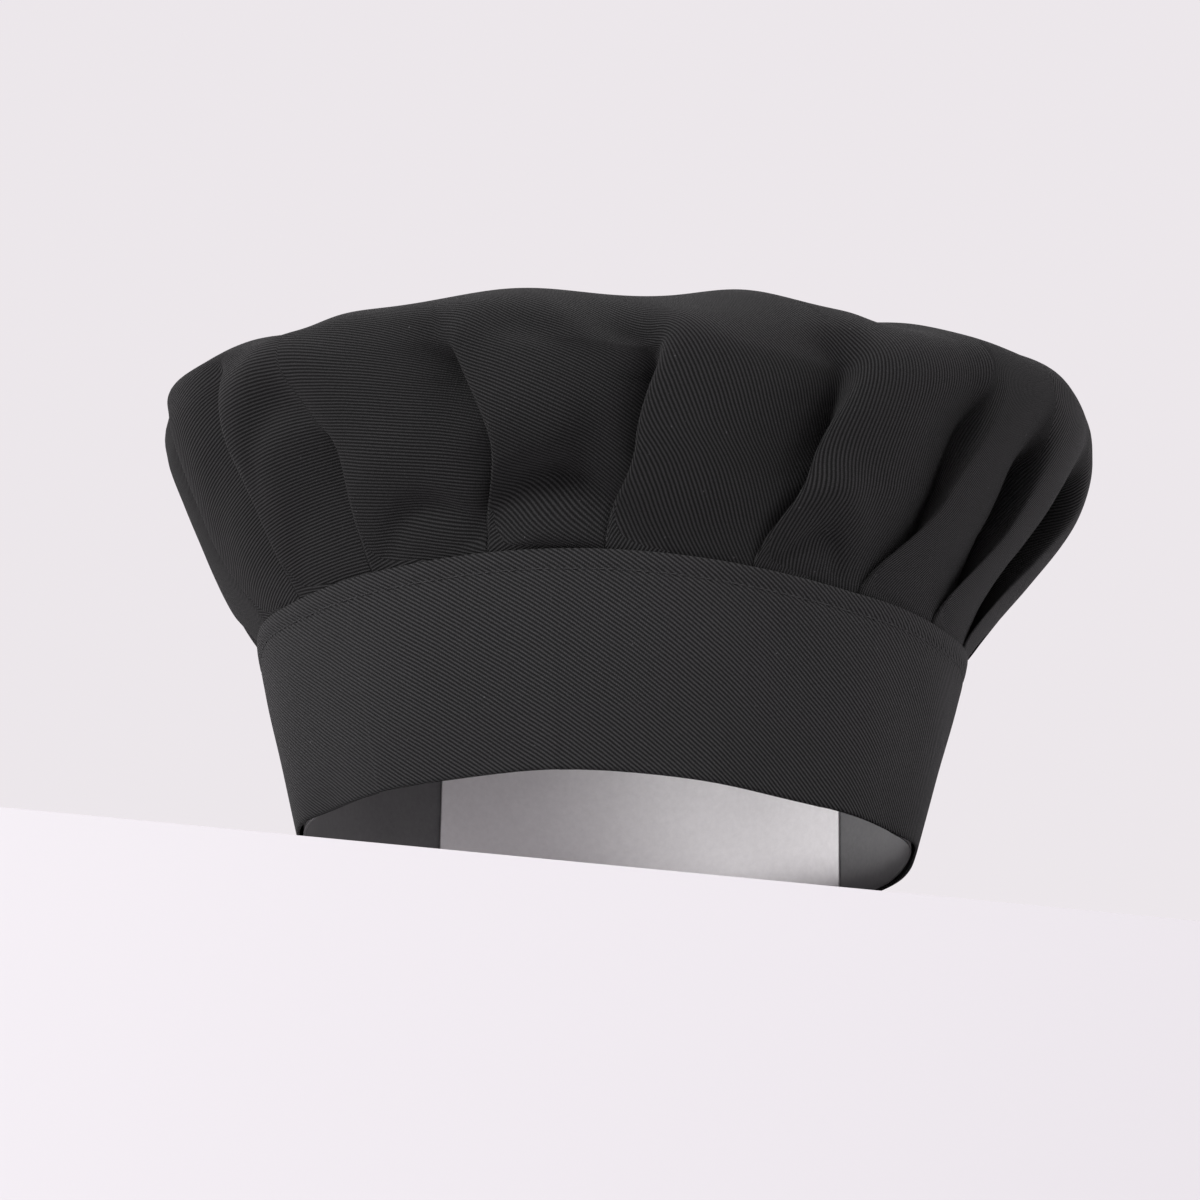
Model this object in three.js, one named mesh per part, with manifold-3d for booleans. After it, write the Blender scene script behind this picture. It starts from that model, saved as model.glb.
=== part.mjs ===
// Chef's toque: a flat disc of cloth, knife-pleated into a stand-up band, that puffs out into
// a mushroom crown. The band closes at the centre back with a hook-and-loop tab, and a rolled
// card former keeps the hat in shape until it is worn.
//
// Units are millimetres and +Z is up. The hat stands on its rim at Z = 0 and faces -Y. Angles
// round the head are in degrees: 0 is the centre front, 90 is +X, 180 is the centre back.
import * as THREE from 'three';
import Module from 'manifold-3d';
import { mergeVertices } from 'three/addons/utils/BufferGeometryUtils.js';

// Head band
const RIM_RADIUS = 96;
const SEAM_RADIUS = 112;
const BAND_HEIGHT = 62;
const CLOTH = 0.8;
const GAP = 0.3;
const INSERT = 0.8;
const BAND_THICKNESS = 2 * CLOTH + 2 * GAP + INSERT;
const FLARE = (SEAM_RADIUS - RIM_RADIUS) / BAND_HEIGHT;
const SEAM_ALLOWANCE = 11;
const TOPSTITCH_BELOW_EDGE = 6;
const THREAD = 0.6;
const BACK = 180;
const SLIT_HALF_ANGLE = 0.5;

// Pleated crown
const PLEATS = 19;
const FIRST_FOLD = -2;
const FACETS_PER_PLEAT = 6;
const CROWN_TOP = 149.5;
const CROWN_WALL = 1;
const PLEAT_STEP = 3.4;
const OVERHANG_CLEARANCE = 0.8;

// Slit in the crown above the closure
const VENT_WIDTH = 1.6;
const VENT_TOP = 104;
const BINDING_RADIUS = 0.9;
const BINDING_SPREAD = 2.6;
const BAR_TACK_WIDTH = 9;
const BAR_TACK_HEIGHT = 1.4;
const BAR_TACK_ABOVE_BINDING = 4.5;

// Back closure
const TAB_FROM = 172;
const TAB_TO = 210;
const TAB_LOW = 9;
const TAB_HIGH = 53;
const TAB_THICKNESS = 2.6;
const TAB_CLOTH = 0.7;
const TAPE = 0.9;
const TAPE_FROM = 184;
const TAPE_TO = 208;
const TAPE_MARGIN = 5;
const TAB_RISE_ANGLE = 10;

// Size label inside the band
const LABEL_FROM = -156;
const LABEL_TO = -146;
const LABEL_LOW = 30;
const LABEL_HIGH = 56;

// Card former
const FORMER_RADIUS = 92.4;
const FORMER_HEIGHT = 78;
const CARD = 0.5;
const FORMER_FOOT = 0.4;
const PANEL_FROM = 127;
const PANEL_TO = 217;
const FORMER_JOIN = 170;
const PANEL_BELOW_RING = 3;

const wasm = await Module();
wasm.setup();

const material = (color, roughness) => new THREE.MeshStandardMaterial({ color, roughness, metalness: 0 });
const crownCloth = material(0x28282a, 0.85);
const bandCloth = material(0x343436, 0.85);
const blackThread = material(0x1c1c1e, 0.7);
const interlining = material(0xd8d6d0, 0.95);
const hookTape = material(0x141416, 0.6);
const loopTape = material(0x1a1a1c, 1.0);
const labelSatin = material(0xe9e7e2, 0.5);
const greyCard = material(0x8a888a, 0.8);
const paleCard = material(0xd6d2d4, 0.8);

const radians = THREE.MathUtils.degToRad;

/** Point at a radius and height, an angle round the head from the centre front. */
function roundHead(radius, degrees, z) {
  return new THREE.Vector3(radius * Math.sin(radians(degrees)), -radius * Math.cos(radians(degrees)), z);
}

/** Outside radius of the flared band at a height. */
function bandRadius(z) {
  return RIM_RADIUS + FLARE * z;
}

/**
 * Bends a straight extrusion round the head. The section's points are [outwards, up], measured
 * from the surface that radiusAt(z) gives; lift(angle) moves the strip outwards on its way.
 */
function bentStrip(section, from, to, stepAngle, radiusAt = bandRadius, lift = () => 0) {
  const shape = new THREE.Shape(section.map(([out, up]) => new THREE.Vector2(out, up)));
  const steps = Math.max(1, Math.round((to - from) / stepAngle));
  const geometry = new THREE.ExtrudeGeometry(shape, { depth: to - from, steps, bevelEnabled: false });
  bendRoundHead(geometry, to, radiusAt, lift);
  return geometry;
}

/** Maps x to outwards, y to up, and z to the angle counted back from startAngle. */
function bendRoundHead(geometry, startAngle, radiusAt, lift) {
  const position = geometry.attributes.position;
  for (let i = 0; i < position.count; i += 1) {
    const angle = startAngle - position.getZ(i);
    const z = position.getY(i);
    const point = roundHead(radiusAt(z) + lift(angle) + position.getX(i), angle, z);
    position.setXYZ(i, point.x, point.y, point.z);
  }
}

/** Section of a plain layer between two depths in the wall. */
function layer(inner, outer, low, high) {
  return [[inner, low], [outer, low], [outer, high], [inner, high]];
}

/** Section of one strip of cloth folded double along its lower edge. */
function foldedStrip(thickness, cloth, low, high) {
  return [
    [-thickness, low], [0, low], [0, high], [-cloth, high], [-cloth, low + cloth],
    [cloth - thickness, low + cloth], [cloth - thickness, high], [-thickness, high],
  ];
}

// Crown ---------------------------------------------------------------------------------

const crownFoot = BAND_HEIGHT - SEAM_ALLOWANCE;
const crownInset = CLOTH + GAP;

/** Outline of the crown from the band's edge to the middle of the top, as radius and height. */
const crownOutline = new THREE.SplineCurve([
  new THREE.Vector2(SEAM_RADIUS - crownInset, BAND_HEIGHT + 0.5),
  new THREE.Vector2(SEAM_RADIUS + 3, BAND_HEIGHT + 4),
  new THREE.Vector2(SEAM_RADIUS + 21, BAND_HEIGHT + 21),
  new THREE.Vector2(SEAM_RADIUS + 33, BAND_HEIGHT + 43),
  new THREE.Vector2(SEAM_RADIUS + 35, BAND_HEIGHT + 60),
  new THREE.Vector2(SEAM_RADIUS + 23, BAND_HEIGHT + 73),
  new THREE.Vector2(SEAM_RADIUS - 11, BAND_HEIGHT + 82),
  new THREE.Vector2(SEAM_RADIUS - 62, CROWN_TOP - 1.2),
  new THREE.Vector2(0, CROWN_TOP),
]);

/** How far a pleat's panel stands out: it steps out at its fold and sinks towards the next one. */
function pleatStep(degrees) {
  const across = (degrees - FIRST_FOLD) / (360 / PLEATS);
  return PLEAT_STEP * (0.5 - (across - Math.floor(across)));
}

/** The folds are full at the bulge and die out at the band's edge and on the top. */
function pleatStrength(radius, z) {
  const aboveSeam = THREE.MathUtils.smoothstep(z, BAND_HEIGHT + OVERHANG_CLEARANCE, BAND_HEIGHT + 14);
  return aboveSeam * THREE.MathUtils.smoothstep(radius, 25, SEAM_RADIUS);
}

function crownPoint(degrees, along, depth) {
  const outline = crownOutline.getPoint(along);
  const tangent = crownOutline.getTangent(along);
  const radius = Math.max(0, outline.x - depth * tangent.y);
  const z = outline.y + depth * tangent.x;
  const step = pleatStep(degrees) * pleatStrength(outline.x, outline.y);
  return roundHead(radius + step, degrees, z);
}

function crownSection() {
  const points = [];
  const outer = [0, 0.14, 0.28, 0.38, 0.46, 0.54, 0.6, 0.67, 0.74, 0.83, 0.92, 1];
  const inner = [0, 0.14, 0.28, 0.4, 0.5, 0.6, 0.7, 0.84, 1];
  for (const along of outer.toReversed()) points.push({ along, depth: 0 });
  for (const along of inner) points.push({ along, depth: CROWN_WALL });
  return points;
}

/** The dome, with its seam allowance standing down between the two layers of the band. */
function crownGeometry() {
  const section = crownSection();
  const allowance = [[-crownInset, crownFoot], [-crownInset - INSERT, crownFoot]];
  const half = section.findIndex((point) => point.depth > 0);
  const profile = section.map(({ along, depth }) => {
    const outline = crownOutline.getPoint(along);
    const tangent = crownOutline.getTangent(along);
    return new THREE.Vector2(Math.max(0, outline.x - depth * tangent.y), outline.y + depth * tangent.x);
  });
  profile[0].x = 0;
  profile[profile.length - 1].x = 0;
  profile[half] = new THREE.Vector2(SEAM_RADIUS - crownInset - INSERT, BAND_HEIGHT + 0.5);
  const foot = allowance.map(([out, z]) => new THREE.Vector2(bandRadius(z) + out, z));
  profile.splice(half, 0, ...foot);
  const geometry = new THREE.LatheGeometry(profile.toReversed(), PLEATS * FACETS_PER_PLEAT);
  geometry.rotateX(Math.PI / 2);
  const position = geometry.attributes.position;
  for (let i = 0; i < position.count; i += 1) {
    const point = new THREE.Vector3().fromBufferAttribute(position, i);
    const radius = Math.hypot(point.x, point.y);
    if (radius < 1e-3) continue;
    const degrees = THREE.MathUtils.radToDeg(Math.atan2(point.x, -point.y));
    const stretched = 1 + (pleatStep(degrees) * pleatStrength(radius, point.z)) / radius;
    position.setXY(i, point.x * stretched, point.y * stretched);
  }
  return geometry;
}

/** Closed mesh as a solid that can be cut. */
function toSolid(geometry) {
  const bare = geometry.clone();
  bare.deleteAttribute('normal');
  bare.deleteAttribute('uv');
  const merged = mergeVertices(bare, 1e-4);
  const vertProperties = new Float32Array(merged.attributes.position.array);
  const triVerts = new Uint32Array(merged.index.array);
  return new wasm.Manifold(new wasm.Mesh({ numProp: 3, vertProperties, triVerts }));
}

function toGeometry(solid) {
  const mesh = solid.getMesh();
  const geometry = new THREE.BufferGeometry();
  geometry.setAttribute('position', new THREE.BufferAttribute(new Float32Array(mesh.vertProperties), 3));
  geometry.setIndex(new THREE.BufferAttribute(new Uint32Array(mesh.triVerts), 1));
  geometry.computeVertexNormals();
  return geometry;
}

/** The crown with the short slit at the centre back that lets the band open. */
function slitCrown() {
  const depth = 80;
  const slot = new THREE.BoxGeometry(VENT_WIDTH, depth, VENT_TOP - crownFoot + 2);
  slot.translate(0, SEAM_RADIUS - 20 + depth / 2, (VENT_TOP + crownFoot - 2) / 2);
  return toGeometry(toSolid(crownGeometry()).subtract(toSolid(slot)));
}

/** Where the crown's outline reaches a height below its bulge. */
function alongAtHeight(z) {
  let low = 0.02;
  let high = 0.5;
  for (let i = 0; i < 30; i += 1) {
    const middle = (low + high) / 2;
    if (crownOutline.getPoint(middle).y < z) low = middle;
    else high = middle;
  }
  return low;
}

/** Narrow bias binding that runs up one edge of the slit, over its top and down the other. */
function ventBindingGeometry() {
  const route = [];
  const rows = 6;
  const arch = 5;
  const low = BAND_HEIGHT + 5;
  const standOff = -(BINDING_RADIUS + 2 * GAP);
  const place = (side, z) => {
    const along = alongAtHeight(z);
    const radius = crownOutline.getPoint(along).x;
    const degrees = BACK - THREE.MathUtils.radToDeg(side / radius);
    return crownPoint(degrees, along, standOff);
  };
  for (let i = 0; i < rows; i += 1) route.push(place(BINDING_SPREAD, low + ((VENT_TOP - low) * i) / rows));
  for (let i = 0; i <= arch; i += 1) {
    const turn = (Math.PI * i) / arch;
    route.push(place(BINDING_SPREAD * Math.cos(turn), VENT_TOP + BINDING_SPREAD * Math.sin(turn)));
  }
  for (let i = rows - 1; i >= 0; i -= 1) route.push(place(-BINDING_SPREAD, low + ((VENT_TOP - low) * i) / rows));
  const path = new THREE.CatmullRomCurve3(route);
  const round = new THREE.Shape().absarc(0, 0, BINDING_RADIUS, 0, 2 * Math.PI);
  return new THREE.ExtrudeGeometry(round, { steps: 26, curveSegments: 8, extrudePath: path });
}

/** Short bar of close stitches across the top of the slit. */
function barTackGeometry() {
  const along = alongAtHeight(VENT_TOP + BINDING_SPREAD + BAR_TACK_ABOVE_BINDING);
  const middle = crownPoint(BACK, along, -(THREAD + 2 * GAP));
  const tangent = crownOutline.getTangent(along);
  const geometry = new THREE.BoxGeometry(BAR_TACK_WIDTH, THREAD, BAR_TACK_HEIGHT);
  geometry.rotateX(-Math.atan2(tangent.x, tangent.y));
  geometry.translate(middle.x, middle.y, middle.z);
  return geometry;
}

// Band ----------------------------------------------------------------------------------

const bandFrom = BACK + SLIT_HALF_ANGLE - 360;
const bandTo = BACK - SLIT_HALF_ANGLE;
const bandFacet = 5;
const tapeFacet = 4;

function bandGeometry() {
  return bentStrip(foldedStrip(BAND_THICKNESS, CLOTH, 0, BAND_HEIGHT), bandFrom, bandTo, bandFacet);
}

function bandInterliningGeometry() {
  const section = layer(-crownInset - INSERT, -crownInset, CLOTH + GAP, crownFoot - GAP);
  return bentStrip(section, bandFrom, bandTo, bandFacet);
}

/** One row of lockstitch that closes the band's folded upper edge over the crown's allowance. */
function topstitchGeometry() {
  const z = BAND_HEIGHT - TOPSTITCH_BELOW_EDGE;
  const section = layer(GAP, GAP + THREAD, z - THREAD / 2, z + THREAD / 2);
  return bentStrip(section, bandFrom, bandTo, bandFacet);
}

/** Blank woven label that hangs from the seam inside the band. */
function labelGeometry() {
  const outer = -BAND_THICKNESS - GAP;
  return bentStrip(layer(outer - THREAD, outer, LABEL_LOW, LABEL_HIGH), LABEL_FROM, LABEL_TO, bandFacet);
}

// Closure -------------------------------------------------------------------------------

const tapeLow = TAB_LOW + TAPE_MARGIN;
const tapeHigh = TAB_HIGH - TAPE_MARGIN;
const tabFacet = 2.375;

/** The tab leaves the band at its root and rises over the two layers of tape. */
function tabLift(angle) {
  const rise = THREE.MathUtils.smoothstep(angle, TAB_FROM, TAB_FROM + TAB_RISE_ANGLE);
  return GAP + rise * 2 * (TAPE + GAP);
}

function tabGeometry() {
  const section = foldedStrip(TAB_THICKNESS, TAB_CLOTH, TAB_LOW, TAB_HIGH);
  const outside = section.map(([out, up]) => [out + TAB_THICKNESS, up]);
  return bentStrip(outside, TAB_FROM, TAB_TO, tabFacet, bandRadius, tabLift);
}

function tabInterliningGeometry() {
  const inner = TAB_CLOTH + GAP;
  const section = layer(inner, TAB_THICKNESS - inner, TAB_LOW + inner, TAB_HIGH - 1);
  return bentStrip(section, TAB_FROM + 1, TAB_TO - 1, tabFacet, bandRadius, tabLift);
}

function loopStripGeometry() {
  return bentStrip(layer(GAP, GAP + TAPE, tapeLow, tapeHigh), TAPE_FROM, TAPE_TO, tapeFacet);
}

function hookStripGeometry() {
  const inner = 2 * GAP + TAPE;
  return bentStrip(layer(inner, inner + TAPE, tapeLow, tapeHigh), TAPE_FROM, TAPE_TO, tapeFacet);
}

/** Box of stitches on the outside of the tab that holds the hook tape on its inside. */
function tabStitchingGeometry() {
  const inner = TAB_THICKNESS + GAP;
  const inset = 2 * THREAD;
  const insetAngle = 0.7;
  const threadAngle = 0.33;
  const box = (grow, growAngle, depth) => {
    const section = layer(inner - depth, inner + THREAD + depth, tapeLow + inset - grow, tapeHigh - inset + grow);
    const from = TAPE_FROM + insetAngle - growAngle;
    const to = TAPE_TO - insetAngle + growAngle;
    return toSolid(bentStrip(section, from, to, tabFacet, bandRadius, tabLift));
  };
  return toGeometry(box(THREAD, threadAngle, 0).subtract(box(0, 0, CLOTH)));
}

// Card former ---------------------------------------------------------------------------

const formerTop = FORMER_FOOT + FORMER_HEIGHT;

function cardGeometry(outerRadius, from, to, low, high) {
  return bentStrip(layer(-CARD, 0, low, high), from, to, bandFacet, () => outerRadius);
}

function formerRingGeometry() {
  return cardGeometry(FORMER_RADIUS, FORMER_JOIN - 359, FORMER_JOIN, FORMER_FOOT, formerTop);
}

/** Paler card that laps the rolled strip's two ends from the inside. */
function formerPanelGeometry() {
  return cardGeometry(FORMER_RADIUS - CARD - GAP, PANEL_FROM, PANEL_TO, FORMER_FOOT, formerTop - PANEL_BELOW_RING);
}

// Assembly ------------------------------------------------------------------------------

const toque = new THREE.Group();

function add(name, geometry, look) {
  const mesh = new THREE.Mesh(geometry, look);
  mesh.name = name;
  toque.add(mesh);
}

add('crown', slitCrown(), crownCloth);
add('vent_binding', ventBindingGeometry(), crownCloth);
add('vent_bar_tack', barTackGeometry(), blackThread);
add('band', bandGeometry(), bandCloth);
add('band_interlining', bandInterliningGeometry(), interlining);
add('band_topstitch', topstitchGeometry(), blackThread);
add('size_label', labelGeometry(), labelSatin);
add('loop_strip', loopStripGeometry(), loopTape);
add('hook_strip', hookStripGeometry(), hookTape);
add('closure_tab', tabGeometry(), bandCloth);
add('tab_interlining', tabInterliningGeometry(), interlining);
add('tab_stitching', tabStitchingGeometry(), blackThread);
add('former_ring', formerRingGeometry(), greyCard);
add('former_panel', formerPanelGeometry(), paleCard);

export default toque;
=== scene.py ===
import math

import bmesh
import bpy
import numpy as np
from mathutils import Matrix, Vector
from mathutils.bvhtree import BVHTree


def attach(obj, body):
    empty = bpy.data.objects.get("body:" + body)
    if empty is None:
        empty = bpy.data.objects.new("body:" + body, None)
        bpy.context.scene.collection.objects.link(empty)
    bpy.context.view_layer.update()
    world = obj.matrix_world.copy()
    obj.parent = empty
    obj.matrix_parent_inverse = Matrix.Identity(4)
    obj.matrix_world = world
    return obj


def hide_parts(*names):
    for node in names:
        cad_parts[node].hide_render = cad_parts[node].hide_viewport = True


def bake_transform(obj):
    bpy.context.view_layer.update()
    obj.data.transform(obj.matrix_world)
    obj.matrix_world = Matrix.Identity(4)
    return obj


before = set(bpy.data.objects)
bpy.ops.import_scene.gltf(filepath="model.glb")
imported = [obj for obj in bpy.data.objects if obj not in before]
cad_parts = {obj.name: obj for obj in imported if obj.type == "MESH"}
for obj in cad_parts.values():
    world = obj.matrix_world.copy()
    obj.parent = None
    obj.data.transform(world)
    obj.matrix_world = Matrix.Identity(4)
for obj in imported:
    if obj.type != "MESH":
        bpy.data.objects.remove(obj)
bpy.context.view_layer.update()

# The hat stands on its rim at Z = 0 and faces -Y; everything is in metres. Angles round the
# head are in degrees, 0 at the centre front, 90 at +X and 180 at the centre back.
MM = 0.001

RIM_RADIUS = 96 * MM
SEAM_RADIUS = 112 * MM
BAND_HEIGHT = 62 * MM
FLARE = (SEAM_RADIUS - RIM_RADIUS) / BAND_HEIGHT
STITCH_DROP = 6 * MM
STITCH = 2.6 * MM
BACK = 180.0
BAND_FROM, BAND_TO = BACK - 359.5, BACK - 0.5
BAND_MM_PER_DEGREE = 1.85       # length round the band, at the middle of its height

DISC_RADIUS = 255 * MM          # the crown's flat cut
CROWN_CLOTH = 0.45 * MM
SEAM_DEPTH = 5 * MM             # how far the crown is followed down inside the band
VENT_HALF_WIDTH = 0.9 * MM
VENT_TOP = 104 * MM

# Folds of the crown: angle round the head, how far it has swung round at a sixth and at a
# third of the way up, in degrees, and the shares of the way up between which it dies out.
# Every pleat lies over the one before it.
FOLD_TABLE = [
    (-171.5, 2.5, 5.0, 0.30, 0.45),
    (-151.0, 2.0, 3.5, 0.28, 0.42),
    (-132.5, 1.5, 3.0, 0.30, 0.46),
    (-113.0, 1.5, 2.5, 0.27, 0.40),
    (-93.5, 1.0, 2.0, 0.26, 0.40),
    (-75.5, -3.5, -3.0, 0.28, 0.40),
    (-59.0, 0.5, 1.5, 0.27, 0.39),
    (-40.5, 2.0, -3.0, 0.12, 0.22),
    (-20.0, 3.5, -2.0, 0.26, 0.40),
    (-2.0, 3.5, 6.0, 0.33, 0.46),
    (20.5, 3.5, 7.0, 0.30, 0.44),
    (39.5, 7.0, 8.0, 0.24, 0.36),
    (59.0, 4.0, 0.0, 0.20, 0.33),
    (76.5, 2.5, 2.5, 0.22, 0.36),
    (103.0, 4.5, 9.0, 0.24, 0.38),
    (120.5, 4.5, 8.5, 0.28, 0.42),
    (137.5, 4.0, 8.0, 0.30, 0.45),
    (153.5, 3.5, 7.0, 0.27, 0.41),
    (169.0, 3.0, 6.0, 0.30, 0.45),
]
FOLDS = [row[0] for row in FOLD_TABLE]

rng = np.random.default_rng(7)


def smooth(x, low, high):
    """0 below low, 1 above high, smooth between them."""
    t = np.clip((np.asarray(x, float) - low) / (high - low), 0, 1)
    return t * t * (3 - 2 * t)


def bump(x, centre, width):
    """A soft hump one high."""
    return np.exp(-(((np.asarray(x, float) - centre) / width) ** 2))


def turn(degrees):
    """Degrees brought to -180 to 180."""
    return (np.asarray(degrees, float) + 180) % 360 - 180


def round_head(radius, degrees, z):
    a = np.radians(degrees)
    return np.stack(np.broadcast_arrays(radius * np.sin(a), -radius * np.cos(a), z), axis=-1)


def band_radius(z):
    return RIM_RADIUS + FLARE * np.asarray(z, float)


# Mesh helpers --------------------------------------------------------------------------


def new_object(name, mesh, material=None):
    obj = bpy.data.objects.new(name, mesh)
    bpy.context.scene.collection.objects.link(obj)
    if material:
        mesh.materials.append(material)
    return obj


def grid_faces(rows, columns, closed):
    """Quads of a grid; closed joins the last column to the first."""
    across = columns if closed else columns - 1
    i, j = np.meshgrid(np.arange(rows - 1), np.arange(across), indexing="ij")
    a = i * columns + j
    b = i * columns + (j + 1) % columns
    return np.stack([a, b, b + columns, a + columns], axis=-1).reshape(-1, 4)


def mesh_from(name, points, faces, uv=None, soft=True):
    """Mesh from points and faces, with cloth coordinates in metres as its UV map."""
    mesh = bpy.data.meshes.new(name)
    rows = [[int(corner) for corner in face] for face in faces]
    mesh.from_pydata(np.reshape(points, (-1, 3)).tolist(), [], rows)
    if uv is not None:
        layer = mesh.uv_layers.new(name="cloth")
        loops = np.empty(len(mesh.loops), np.int32)
        mesh.loops.foreach_get("vertex_index", loops)
        layer.data.foreach_set("uv", uv.reshape(-1, 2)[loops].ravel())
    if soft:
        mesh.shade_smooth()
    mesh.update()
    return mesh


def fix_normals(mesh):
    """Turns every face of a closed mesh outwards."""
    bm = bmesh.new()
    bm.from_mesh(mesh)
    bmesh.ops.recalc_face_normals(bm, faces=bm.faces)
    bm.to_mesh(mesh)
    bm.free()


def even_curve(points, steps, fine_steps):
    """Catmull-Rom curve through points: points evenly spaced along it, and its length."""
    p = np.array(points, float)
    p = np.vstack([2 * p[0] - p[1], p, 2 * p[-1] - p[-2]])
    t = np.linspace(0, 1, fine_steps, endpoint=False)[:, None]
    fine = []
    for a, b, c, d in zip(p, p[1:], p[2:], p[3:]):
        square = 2 * a - 5 * b + 4 * c - d
        cube = 3 * b - a - 3 * c + d
        fine.append(0.5 * (2 * b + (c - a) * t + square * t**2 + cube * t**3))
    fine = np.vstack(fine + [p[-2:-1]])
    length = np.r_[0, np.cumsum(np.linalg.norm(np.diff(fine, axis=0), axis=1))]
    even = np.linspace(0, length[-1], steps)
    return np.stack([np.interp(even, length, fine[:, k]) for k in (0, 1)], axis=1), length[-1]


# Crown ---------------------------------------------------------------------------------

ROWS = 150
COLUMNS_PER_PLEAT = 44
COLUMNS = COLUMNS_PER_PLEAT * len(FOLDS)

OUTLINE_STEPS = 400
OUTLINE_FINE = 24

FADE_SHARE = 0.95               # how much of a fold is gone where it has died out
MOST_TUCK = 21 * MM             # widest strip of cloth hidden under a fold
SPAN_SHARE = 0.8                # how much of the flat cut goes to pleats by their span
MIDDLE_LIFT = 1.5 * MM          # how far the middle of the top follows the lifted front
PANEL_STEPS = 40
RETURN_STEPS = 14
ROW_SAMPLES = 4096
PANEL_POWER = 2.4               # how late a panel drops towards the fold that covers it
RETURN_POWER = 1.2

# How deep the cloth steps down at a fold, and how softly, at places up the outline, in mm.
STEP_PLACES = [0, 4, 14, 30, 55, 80, 105, 140, 220]
STEP_DEPTHS = [1.2, 2.4, 8.5, 14.5, 16.0, 12.0, 7.0, 3.0, 0.0]
SOFT_PLACES = [0, 10, 30, 55, 80, 105, 150, 220]
SOFT_WIDTHS = [0.5, 0.8, 1.5, 2.8, 5.5, 9.5, 14.0, 18.0]

# Broad ripples of the crown: waves round the head, waves up the outline, and size in mm.
RIPPLES = [(3, 2.1, 1.6), (5, 3.3, 1.1), (8, 4.7, 0.7), (13, 7.0, 0.4)]

# Outline of the crown on four sides, as (radius, height) from the band's edge to the middle
# of the top, in mm. Each side has the same number of points, at matching places.
OUTLINES = {
    0: [(110.6, 62), (115, 67), (124, 77), (134, 91), (141.5, 106), (142.5, 119), (133, 130.5),
        (107, 140.5), (66, 146.5), (28, 148), (0, 148)],
    90: [(110.6, 62), (114, 68), (122.5, 79), (134, 93), (147, 110), (152.5, 127), (147, 140),
         (118, 148), (70, 149.5), (28, 149), (0, 148)],
    180: [(110.6, 62), (116, 67), (126, 78), (138, 93), (147, 109), (148, 124), (137, 137),
          (108, 145), (66, 148), (28, 148.5), (0, 148)],
    270: [(110.6, 62), (115, 68), (122.5, 79), (131, 94), (138.5, 110), (143, 125), (139.5, 136),
          (113, 144), (66, 148), (28, 148.5), (0, 148)],
}


def meridians(degrees, rows):
    """Radius and height of the crown's outline at each row and angle."""
    sides = {a: even_curve(o, OUTLINE_STEPS, OUTLINE_FINE)[0] for a, o in OUTLINES.items()}
    t = np.radians(degrees)
    facing = {0: np.cos(t), 90: np.sin(t), 180: -np.cos(t), 270: -np.sin(t)}
    weights = {a: np.clip(toward, 0, 1) ** 2 for a, toward in facing.items()}
    at = np.linspace(0, 1, OUTLINE_STEPS)
    r = sum(weights[a] * np.interp(rows, at, sides[a][:, 0]) for a in sides)
    z = sum(weights[a] * np.interp(rows, at, sides[a][:, 1]) for a in sides)
    # the shoulder is fuller to the right and left of the front
    shoulder = bump(rows, 0.40, 0.13)
    r = r + shoulder * (6.0 * bump(turn(degrees - 62), 0, 22) + 4.0 * bump(turn(degrees + 62), 0, 24))
    z = z + shoulder * (3.0 * bump(turn(degrees + 62), 0, 26) + 1.0 * bump(turn(degrees - 60), 0, 20))
    return r * MM, z * MM


def crown_rows():
    """Share of the way from the seam to the middle, with finer rows near the seam."""
    t = np.linspace(0, 1, ROWS)
    return 0.62 * t + 0.38 * t**2


def relief(degrees):
    """How deep the pleat that ends at a fold sinks: least where the cloth is pulled flat."""
    t = turn(degrees)
    sides = 0.5 * bump(t, 104, 13) + 0.45 * bump(t, 126, 14) + 0.35 * bump(t, -112, 26)
    return 1 - (sides + 0.3 * bump(t, 180, 30))


def softened(values, spacing, width):
    """Gaussian blur of a closed run of evenly spaced values."""
    frequency = np.fft.rfftfreq(len(values), spacing)
    kernel = np.exp(-2 * (math.pi * frequency * width) ** 2)
    return np.fft.irfft(np.fft.rfft(values) * kernel, len(values))


def row_of_pleats(around, starts, visible, tucks, deep):
    """One closed row of pleats: each point's distance along the cloth, how far the cloth has
    drifted from an even spread round the head, and how far it stands out."""
    p = np.linspace(0, 1, PANEL_STEPS, endpoint=False)
    q = np.linspace(0, 1, RETURN_STEPS, endpoint=False)
    along, place, out = [], [], []
    for k, angle in enumerate(FOLDS):
        left = around * (angle - FOLDS[0]) / 360
        under = visible[k] + tucks[k]
        along += [starts[k] + p * under, starts[k] + under + q * tucks[k]]
        place += [left + p * under, left + under - q * tucks[k]]
        out += [-deep[k] * p**PANEL_POWER, -deep[k] * (1 - q) ** RETURN_POWER]
    along = np.r_[np.concatenate(along), starts[-1]]
    place = np.r_[np.concatenate(place), around]
    out = np.concatenate(out)
    return along, place - along * around / starts[-1], np.r_[out, out[0]]


def grain_angles(middles, half, along, visible, tucks):
    """Angle on the flat cut: each panel keeps its own grain, and the tuck makes up the rest."""
    following = np.r_[middles[1:], middles[0] + 2 * math.pi] - np.roll(half, -1)
    on_panel = middles[:, None] + (along / visible[:, None] - 0.5) * 2 * half[:, None]
    in_tuck = (along - visible[:, None]) / (2 * tucks[:, None])
    edge = (middles + half)[:, None]
    hidden = edge + in_tuck * (following[:, None] - edge)
    return np.where(along < visible[:, None], on_panel, hidden).ravel()


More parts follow.
